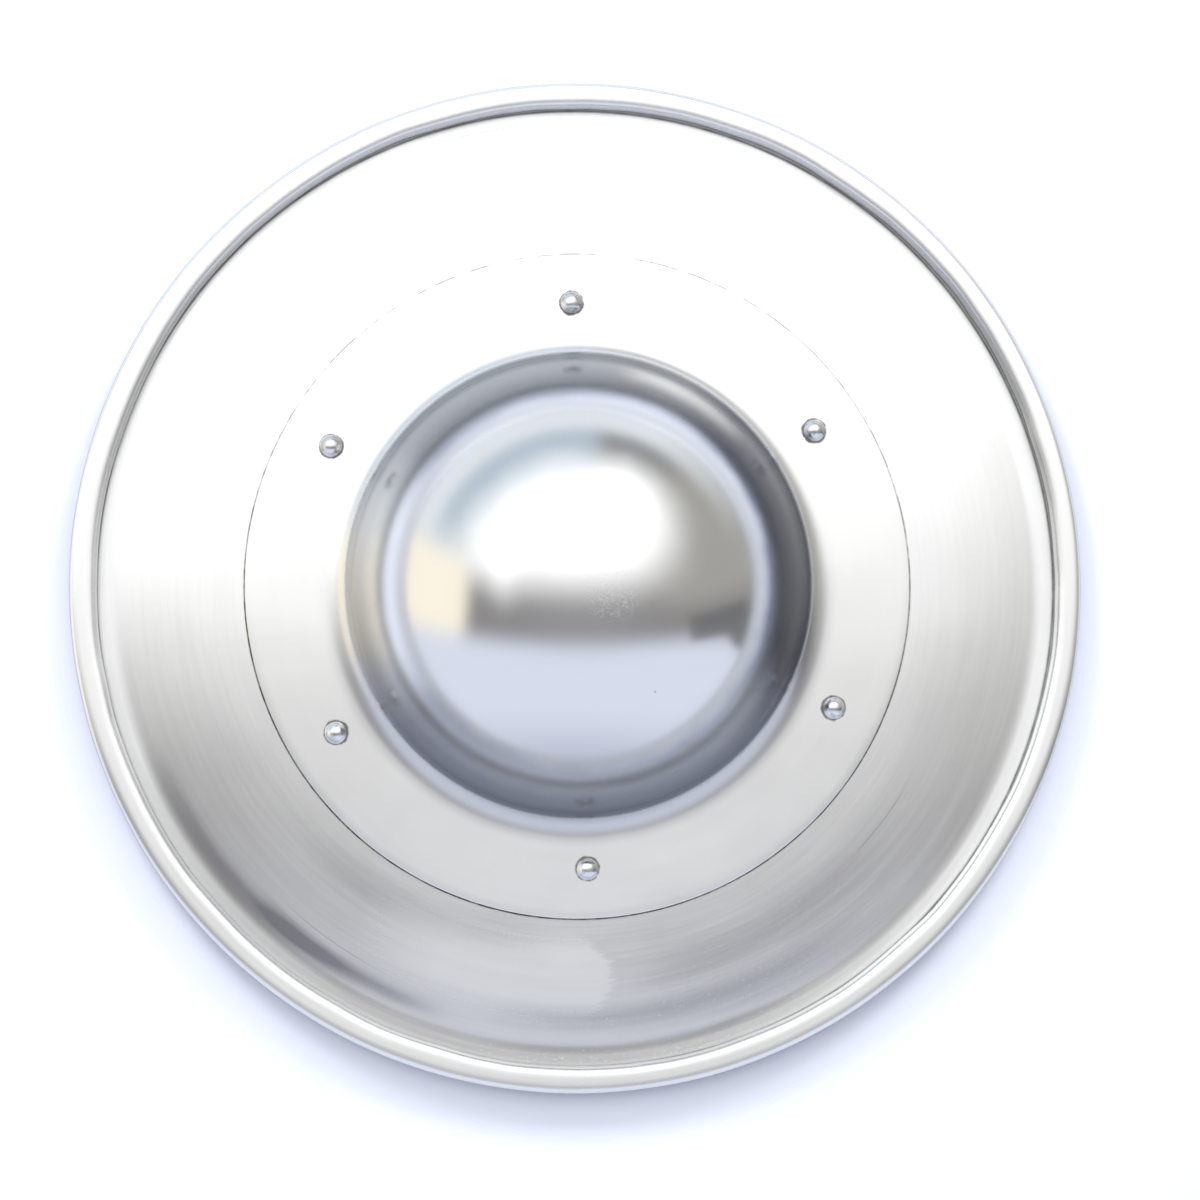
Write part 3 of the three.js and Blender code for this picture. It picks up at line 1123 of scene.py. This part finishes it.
@dataclass
class Rivets:
    """The six round-headed rivets, peened behind."""

    dish: Dish
    circle: float = 84.9 * MM
    count: int = 6
    shank_r: float = 2.0 * MM
    head_r: float = 3.5 * MM
    head_top: float = 4.2 * MM
    tail_r: float = 3.0 * MM
    tail_h: float = 1.5 * MM
    strap: float = 2.0 * MM
    turns: int = 40
    seed: int = 5
    tilt: float = 1.5
    dent: float = 0.16 * MM
    dent_size: float = 2.2 * MM
    head_ease: float = 0.12 * MM
    guide: float = 10.0 * MM

    def seats(self) -> list[Vector]:
        """Where each rivet crosses the plate's front."""
        places = []
        for k in range(self.count):
            low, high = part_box(f"rivet_{k + 1}")
            middle = (low + high) / 2.0
            around = Vector((middle.x, middle.y)).normalized() * self.circle
            _, height = self.dish.crown_at(self.circle, 0.0)
            places.append(Vector((around.x, around.y, height)))
        return places

    def kind(self, number: int) -> RivetKind:
        """What the rivet of that number, counted from 0, holds: the top and the bottom one hold the grip."""
        return RivetKind.GRIP if number in (0, self.count // 2) else RivetKind.PLATE

    def section(self, kind: RivetKind) -> list[Point]:
        """A rivet's section from the tip of its tail to the top of its head."""
        dish = self.dish
        foot = dish.sheet + dish.gap
        rise_h = self.head_top - foot
        ball = (self.head_r**2 + rise_h**2) / (2.0 * rise_h)
        lean = math.degrees(math.asin(self.head_r / ball))
        tail_top = -(dish.sheet + dish.gap)
        if kind is RivetKind.GRIP:
            tail_top -= self.strap + dish.gap
        tail_foot = tail_top - self.tail_h
        head = rise(0.0, self.head_top - ball, ball, lean, 0.0, 6.0)
        tail = [
            (0.0, tail_foot),
            (0.45 * self.tail_r, tail_foot + 0.02 * self.tail_h),
            (0.75 * self.tail_r, tail_foot + 0.15 * self.tail_h),
            (0.93 * self.tail_r, tail_foot + 0.36 * self.tail_h),
            (self.tail_r, tail_foot + 0.6 * self.tail_h),
            (self.tail_r, tail_top),
        ]
        shank = [(self.shank_r, tail_top), (self.shank_r, foot)]
        head[-1] = (0.0, head[-1][1])
        return tail + shank + [(self.head_r - self.head_ease, foot)] + head[1:]

    def setting_recipe(self) -> Recipe:
        """The recipe that sets a rivet on each point, square to the crown, each a little different."""
        recipe = Recipe("set_rivets")
        plain = recipe.taken("Plain Rivet", "NodeSocketObject")
        long = recipe.taken("Long Rivet", "NodeSocketObject")
        centre = recipe.taken("Crown Centre", "NodeSocketVector")
        seed = recipe.taken("Seed", "NodeSocketInt")
        tilt = recipe.number("Tilt")
        dent = recipe.number("Dent Depth")
        steel = recipe.taken("Steel", "NodeSocketMaterial")

        position = recipe.node("GeometryNodeInputPosition").outputs[0]
        outward = recipe.along("SUBTRACT", position, centre)
        aligned = recipe.node("FunctionNodeAlignRotationToVector", {"axis": "Z"}, {"Vector": outward})
        square = aligned.outputs[0]
        named = {"Name": "holds_grip"}
        lengths = recipe.node("GeometryNodeInputNamedAttribute", {"data_type": "BOOLEAN"}, named)
        holds = lengths.outputs[0]
        other = recipe.node("FunctionNodeBooleanMath", {"operation": "NOT"}, {0: holds}).outputs[0]
        sets = []
        for selection, kind in ((other, plain), (holds, long)):
            rivet = recipe.node("GeometryNodeObjectInfo", None, {"Object": kind}).outputs["Geometry"]
            inputs = {"Points": recipe.mesh, "Selection": selection, "Instance": rivet, "Rotation": square}
            sets.append(recipe.node("GeometryNodeInstanceOnPoints", None, inputs).outputs[0])
        joined = recipe.node("GeometryNodeJoinGeometry")
        for one in sets:
            recipe.tree.links.new(one, joined.inputs[0])
        lean = tilt * math.radians(1.0)
        low, high = recipe.vector(0.0 - lean, 0.0 - lean, 0.0), recipe.vector(lean, lean, 2.0 * math.pi)
        turn = recipe.node(
            "FunctionNodeRandomValue", {"data_type": "FLOAT_VECTOR"}, {"Min": low, "Max": high, "Seed": seed}
        ).outputs[0]
        turned = recipe.chain("RotateInstances", joined.outputs[0], Rotation=turn)
        real = recipe.chain("RealizeInstances", turned)
        normal = recipe.node("GeometryNodeInputNormal").outputs[0]
        amount = (recipe.noise(position, 1.0 / self.dent_size, 2.0) - 0.5) * dent
        dented = recipe.chain("SetPosition", real, Offset=recipe.scaled(normal, amount))
        smooth = recipe.chain("SetShadeSmooth", dented)
        recipe.finish(recipe.chain("SetMaterial", smooth, Material=steel))
        return recipe

    def build(self, spinning: Recipe) -> bpy.types.Object:
        """Makes one rivet of each kind and sets all six.

        Args:
            spinning: the spinning recipe.

        Returns:
            The finished piece.
        """
        _, head_height = self.dish.crown_at(self.circle, self.dish.sheet)
        steel = RivetSteel(head_from=head_height).build()
        patterns = {}
        for kind in RivetKind:
            mesh = section_mesh("rivet_section", self.section(kind), False, self.guide)
            settings = {"Turns": self.turns, "Guide Radius": self.guide, "Edge To": 1.0, "Band Fade": 1.0}
            settings |= {"Dents Size": 1.0}
            patterns[kind] = spinning.make("rivet_pattern", mesh, {**settings, "Front": steel, "Back": steel})
        seats = bpy.data.meshes.new("rivet_seats")
        seats.from_pydata([tuple(p) for p in self.seats()], [], [])
        holds = seats.attributes.new("holds_grip", "BOOLEAN", "POINT")
        for k in range(self.count):
            holds.data[k].value = self.kind(k) is RivetKind.GRIP
        settings = {
            "Plain Rivet": patterns[RivetKind.PLATE],
            "Long Rivet": patterns[RivetKind.GRIP],
            "Crown Centre": (0.0, 0.0, self.dish.crown_z),
            "Seed": self.seed,
            "Tilt": self.tilt,
            "Dent Depth": self.dent,
            "Steel": steel,
        }
        piece = self.setting_recipe().make("rivets", seats, settings)
        for pattern in patterns.values():
            bpy.data.objects.remove(pattern)
        finish_piece(piece, "rivet_steel", *(f"rivet_{k + 1}" for k in range(self.count)))
        return piece


@dataclass
class Grip:
    """The hand grip: a strap whose middle is bent forward into a half-round handle."""

    dish: Dish
    thick: float = 2.0 * MM
    width: float = 21.0 * MM
    end: float = 96.0 * MM
    handle_width: float = 38.0 * MM
    handle_bend: float = 80.0
    handle_end: float = 46.0 * MM
    flat_from: float = 66.0 * MM
    between: float = 75.5 * MM
    ease: float = 0.45 * MM
    across: int = 24

    def share(self, y: float) -> float:
        """How far the strap is from flat end, 0, to full handle, 1, at y from its middle."""
        t = min(1.0, max(0.0, (self.flat_from - abs(y)) / (self.flat_from - self.handle_end)))
        return t * t * (3.0 - 2.0 * t)

    def ring(self, y: float) -> list[Vector]:
        """The closed section at y, its edges eased."""
        share = self.share(y)
        end_r = self.width / 2.0
        into_end = max(0.0, abs(y) - (self.end - end_r))
        flat = 2.0 * math.sqrt(max(end_r**2 - into_end**2, (1.0 * MM) ** 2))
        width = flat + share * (self.handle_width - self.width)
        bend = max(share * math.radians(self.handle_bend), 0.001)
        radius = width / (2.0 * bend)
        reach = self.dish.crown_r - self.dish.sheet - self.dish.gap - self.thick / 2.0
        height = self.dish.crown_z + math.sqrt(reach**2 - max(abs(y), self.flat_from) ** 2)
        middle = height + radius
        turn = math.degrees(bend)
        step = 2.0 * turn / self.across
        back = arc(0.0, middle, radius + self.thick / 2.0, -90.0 - turn, -90.0 + turn, step * 1.001)
        front = arc(0.0, middle, radius - self.thick / 2.0, -90.0 + turn, -90.0 - turn, step * 1.001)
        ease = min(self.ease, 0.4 * width / self.across * 2.0)
        points = eased(back + front, (0, len(back) - 1, len(back), len(back) + len(front) - 1), ease)
        return [Vector((x, y, z)) for x, z in points]

    def stations(self) -> list[float]:
        """The places along the strap where its section is worked out."""
        end_r = self.width / 2.0
        tip = [self.end - end_r + end_r * math.cos(math.radians(a)) for a in range(0, 91, 6)]
        bend = [self.flat_from - (self.flat_from - self.handle_end) * k / 20.0 for k in range(21)]
        half = tip + [self.between] + bend + [self.handle_end * k / 6.0 for k in range(5, 0, -1)]
        return [-y for y in half] + [0.0] + half[::-1]

    def build(self) -> bpy.types.Object:
        """Lofts the strap.

        Returns:
            The finished piece.
        """
        rings = [self.ring(y) for y in self.stations()]
        count = len(rings[0])
        top, bottom = (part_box(name) for name in ("rivet_1", "rivet_4"))
        run = (top[0] + top[1] - bottom[0] - bottom[1]) / 2.0
        turn = math.atan2(run.y, run.x) - math.pi / 2.0
        cosine, sine = math.cos(turn), math.sin(turn)
        places = [
            (p.x * cosine - p.y * sine, p.x * sine + p.y * cosine, p.z) for ring in rings for p in ring
        ]
        faces = [tuple(range(count - 1, -1, -1)), tuple(range(len(places) - count, len(places)))]
        for k in range(len(rings) - 1):
            for i in range(count):
                a, b = k * count + i, k * count + (i + 1) % count
                faces.append((a, b, b + count, a + count))
        mesh = bpy.data.meshes.new("grip_strap")
        mesh.from_pydata(places, [], [face[::-1] for face in faces])
        mesh.shade_smooth()
        mesh.materials.append(BrushedStrap().build())
        piece = bpy.data.objects.new("grip_strap", mesh)
        bpy.context.scene.collection.objects.link(piece)
        finish_piece(piece, "grip_steel", "grip")
        return piece


# ---------------------------------------------------------------------------------------------------
# The studio
# ---------------------------------------------------------------------------------------------------


@dataclass(frozen=True)
class Glow:
    """A soft patch of the studio's surroundings, by its angles to the side and above the horizon."""

    side: float
    above: float
    width: float
    height: float
    soft: float
    colour: Colour


@dataclass
class Studio:
    """A pale room with a broad soft light above and a table in front, its lamps, floor and camera."""

    lens: float = 104.6
    sensor: float = 36.0
    distance: float = 1.05
    below: float = 2.5
    beside: float = 2.5
    aim: Vector = field(default_factory=lambda: Vector((6.57 * MM, -4.32 * MM, 6.0 * MM)))
    lean: float = 17.0
    level: float = 3.0
    floor_half: float = 3.0
    lamp_size: float = 0.7
    lamp_away: float = 1.9
    lamp_height: float = 24.0
    lamp_power: float = 26.0
    lamps: tuple[tuple[str, float], ...] = (("left_lamp", 123.0), ("right_lamp", 58.0))
    floor_drop: float = 0.2 * MM
    near_ends: float = 200.0 * MM
    far_starts: float = 420.0 * MM
    floor_near: Colour = (0.73, 0.76, 0.87)
    # Painted shade: the floor darkens away from the shield, and the steel mirrors it.
    floor_far_shade: Colour = (0.45, 0.465, 0.51)

    # How bright each part of the room is, named by what hangs or stands there.
    LIGHT = (1.9, 1.9, 1.88)
    LIGHT_EDGE = (0.6, 0.7, 0.8)
    LIGHT_END = (0.35, 0.35, 0.35)
    FAR_SIDE = (0.31, 0.3, 0.3)
    WALL = (1.0, 1.05, 1.1)
    WARM_WALL = (1.3, 1.2, 1.0)
    GREY_WALL = (0.47, 0.46, 0.43)
    TABLE = (0.9, 0.95, 1.1)
    TABLE_NEAR = (0.6, 0.65, 0.8)
    DARK_SCREEN = (0.2, 0.2, 0.2)
    GLOWS = (
        Glow(68.0, -8.0, 14.5, 4.2, 2.5, DARK_SCREEN),
        Glow(84.0, -12.5, 13.0, 7.5, 3.0, DARK_SCREEN),
    )

    # Where each part of the room starts and is all there is, in degrees: up from the horizon, to the
    # side, round the shield or off its axis.
    LIGHT_RISES = (2.0, 34.0)
    GREY_SIDE, GREY_RISES = (16.0, 62.0), (-6.0, 8.0)
    WARM_SIDE = (-50.0, -60.0)
    LIGHT_STOPS, STOPS_FURTHER = 42.0, 10.0
    STOPS_LATER = (2.0, 16.0)
    LIGHT_GONE = 70.0
    END_ROUND = (2.0, 14.0)
    GREY_ROUND = (32.0, 48.0)
    WALL_ROUND = (-56.0, -80.0)
    OVERHEAD = (14.0, 24.0)
    GREY_BACK = (20.0, 80.0)
    WARM_BACK = (-62.0, -84.0)
    BACK_STARTS = (74.0, 84.0)
    TABLE_DROPS = (-40.0, -84.0)
    TABLE_TOP = (-5.0, -19.0)

    def _lit(self, colour: Colour) -> Colour:
        """A light's colour as a share of the studio's level."""
        return tuple(c / self.level for c in colour)

    def build_world(self) -> None:
        """Builds the surroundings that light the shield and that its steel mirrors."""
        world = bpy.data.worlds.new("studio")
        bpy.context.scene.world = world
        world.use_nodes = True
        graph = Graph(world.node_tree)
        direction = graph.node("ShaderNodeTexCoord").outputs["Generated"]
        x, y, z = graph.parts(direction)
        lean = math.radians(self.lean)
        side = x.angle("ARCSINE")
        above = (y * math.cos(lean) + z * math.sin(lean)).angle("ARCSINE")
        off_axis = z.angle("ARCCOSINE")
        around = (x / graph.length(x, y).most(1e-4)).angle("ARCSINE")
        lumps = graph.noise(direction, 5.0, 3.0) - 0.5

        light, edge, end, far_side = (
            self._lit(c) for c in (self.LIGHT, self.LIGHT_EDGE, self.LIGHT_END, self.FAR_SIDE)
        )
        wall, warm, grey = (self._lit(c) for c in (self.WALL, self.WARM_WALL, self.GREY_WALL))
        ragged = above + lumps * 5.0 + side.band(-37.0, 12.0) * 6.0
        colour = graph.mix(ragged.step(*self.LIGHT_RISES), far_side, light)
        colour = graph.mix(side.step(*self.GREY_SIDE) * above.step(*self.GREY_RISES), colour, grey)
        colour = graph.mix(side.step(*self.WARM_SIDE), colour, warm)
        starts = self.LIGHT_STOPS + around.step(*self.STOPS_LATER) * self.STOPS_FURTHER
        rim = graph.mix(around.step(*self.END_ROUND), edge, end)
        rim = graph.mix(around.step(*self.GREY_ROUND), rim, grey)
        rim = graph.mix(around.step(*self.WALL_ROUND), rim, wall)
        past = (off_axis + lumps * 6.0 - starts) / (self.LIGHT_GONE - starts)
        ended = past.clamped() * above.step(*self.OVERHEAD)
        colour = graph.mix(ended, colour, rim)
        back = graph.mix(around.step(*self.GREY_BACK), wall, grey)
        back = graph.mix(around.step(*self.WARM_BACK), back, warm)
        behind = off_axis.step(*self.BACK_STARTS) * above.step(*self.OVERHEAD)
        colour = graph.mix(behind, colour, back)
        near = above.step(*self.TABLE_DROPS)
        table = graph.mix(near, self._lit(self.TABLE), self._lit(self.TABLE_NEAR))
        colour = graph.mix(above.step(*self.TABLE_TOP), colour, table)
        for glow in self.GLOWS:
            within = side.between(glow.side - glow.width, glow.side + glow.width, glow.soft)
            within = within * above.between(glow.above - glow.height, glow.above + glow.height, glow.soft)
            colour = graph.mix(within, colour, self._lit(glow.colour))
        glowing = graph.node("ShaderNodeBackground", None, {"Color": colour, "Strength": self.level})
        graph.node("ShaderNodeOutputWorld", None, {"Surface": glowing.outputs[0]})

    def build_lights(self) -> None:
        """Hangs two broad lamps past the shield's upper edge, left and right, for its soft shadow."""
        up = math.radians(self.lamp_height)
        for name, around in self.lamps:
            data = bpy.data.lights.new(name, "AREA")
            data.shape = "DISK"
            data.size = self.lamp_size
            data.energy = self.lamp_power
            lamp = bpy.data.objects.new(name, data)
            turn = math.radians(around)
            toward = Vector((math.cos(turn) * math.cos(up), math.sin(turn) * math.cos(up), math.sin(up)))
            lamp.location = toward * self.lamp_away
            lamp.rotation_euler = toward.to_track_quat("Z", "Y").to_euler()
            lamp.visible_glossy = False
            bpy.context.scene.collection.objects.link(lamp)

    def build_floor(self) -> None:
        """Lays the pale floor just under the shield."""
        half = self.floor_half
        under = -self.floor_drop
        corners = [(-half, -half, under), (half, -half, under), (half, half, under), (-half, half, under)]
        mesh = bpy.data.meshes.new("floor")
        mesh.from_pydata(corners, [], [(0, 1, 2, 3)])
        material, graph = new_material("floor_paper")
        lathe = Lathe(graph)
        # The floor's painted shade, darker from near_ends to far_starts.
        far = lathe.radius.step(self.near_ends, self.far_starts)
        colour = graph.mix(far, self.floor_near, self.floor_far_shade)
        inputs = {"Base Color": colour, "Roughness": 0.9, "Specular IOR Level": 0.1}
        shader = graph.node("ShaderNodeBsdfPrincipled", None, inputs)
        graph.surface(shader)
        mesh.materials.append(material)
        floor = bpy.data.objects.new("floor", mesh)
        bpy.context.scene.collection.objects.link(floor)

    def build_camera(self) -> None:
        """Puts the camera over the shield, a little to its lower left."""
        data = bpy.data.cameras.new("camera")
        data.lens, data.sensor_width = self.lens, self.sensor
        camera = bpy.data.objects.new("camera", data)
        bpy.context.scene.collection.objects.link(camera)
        bpy.context.scene.camera = camera
        down, left = math.tan(math.radians(self.below)), math.tan(math.radians(self.beside))
        away = Vector((-left, -down, 1.0)).normalized()
        across = Vector((0.0, 1.0, 0.0)).cross(away).normalized()
        camera.location = self.aim + away * self.distance
        camera.rotation_euler = Matrix((across, away.cross(across), away)).transposed().to_euler()
        bpy.context.scene.view_settings.view_transform = "Standard"

    def build(self) -> None:
        """Builds it all."""
        self.build_world()
        self.build_lights()
        self.build_floor()
        self.build_camera()


def main() -> None:
    """Builds the studio, then the shield's pieces in the order in which it is put together."""
    logging.basicConfig(level=logging.INFO, format="%(name)s: %(message)s")
    Studio().build()
    dish = Dish()
    spinning = spinning_recipe()
    rivets = Rivets(dish)
    Plate(dish).build(spinning)
    Boss(dish).build(spinning, rivets)
    Grip(dish).build()
    rivets.build(spinning)


if __name__ == "__main__":
    main()
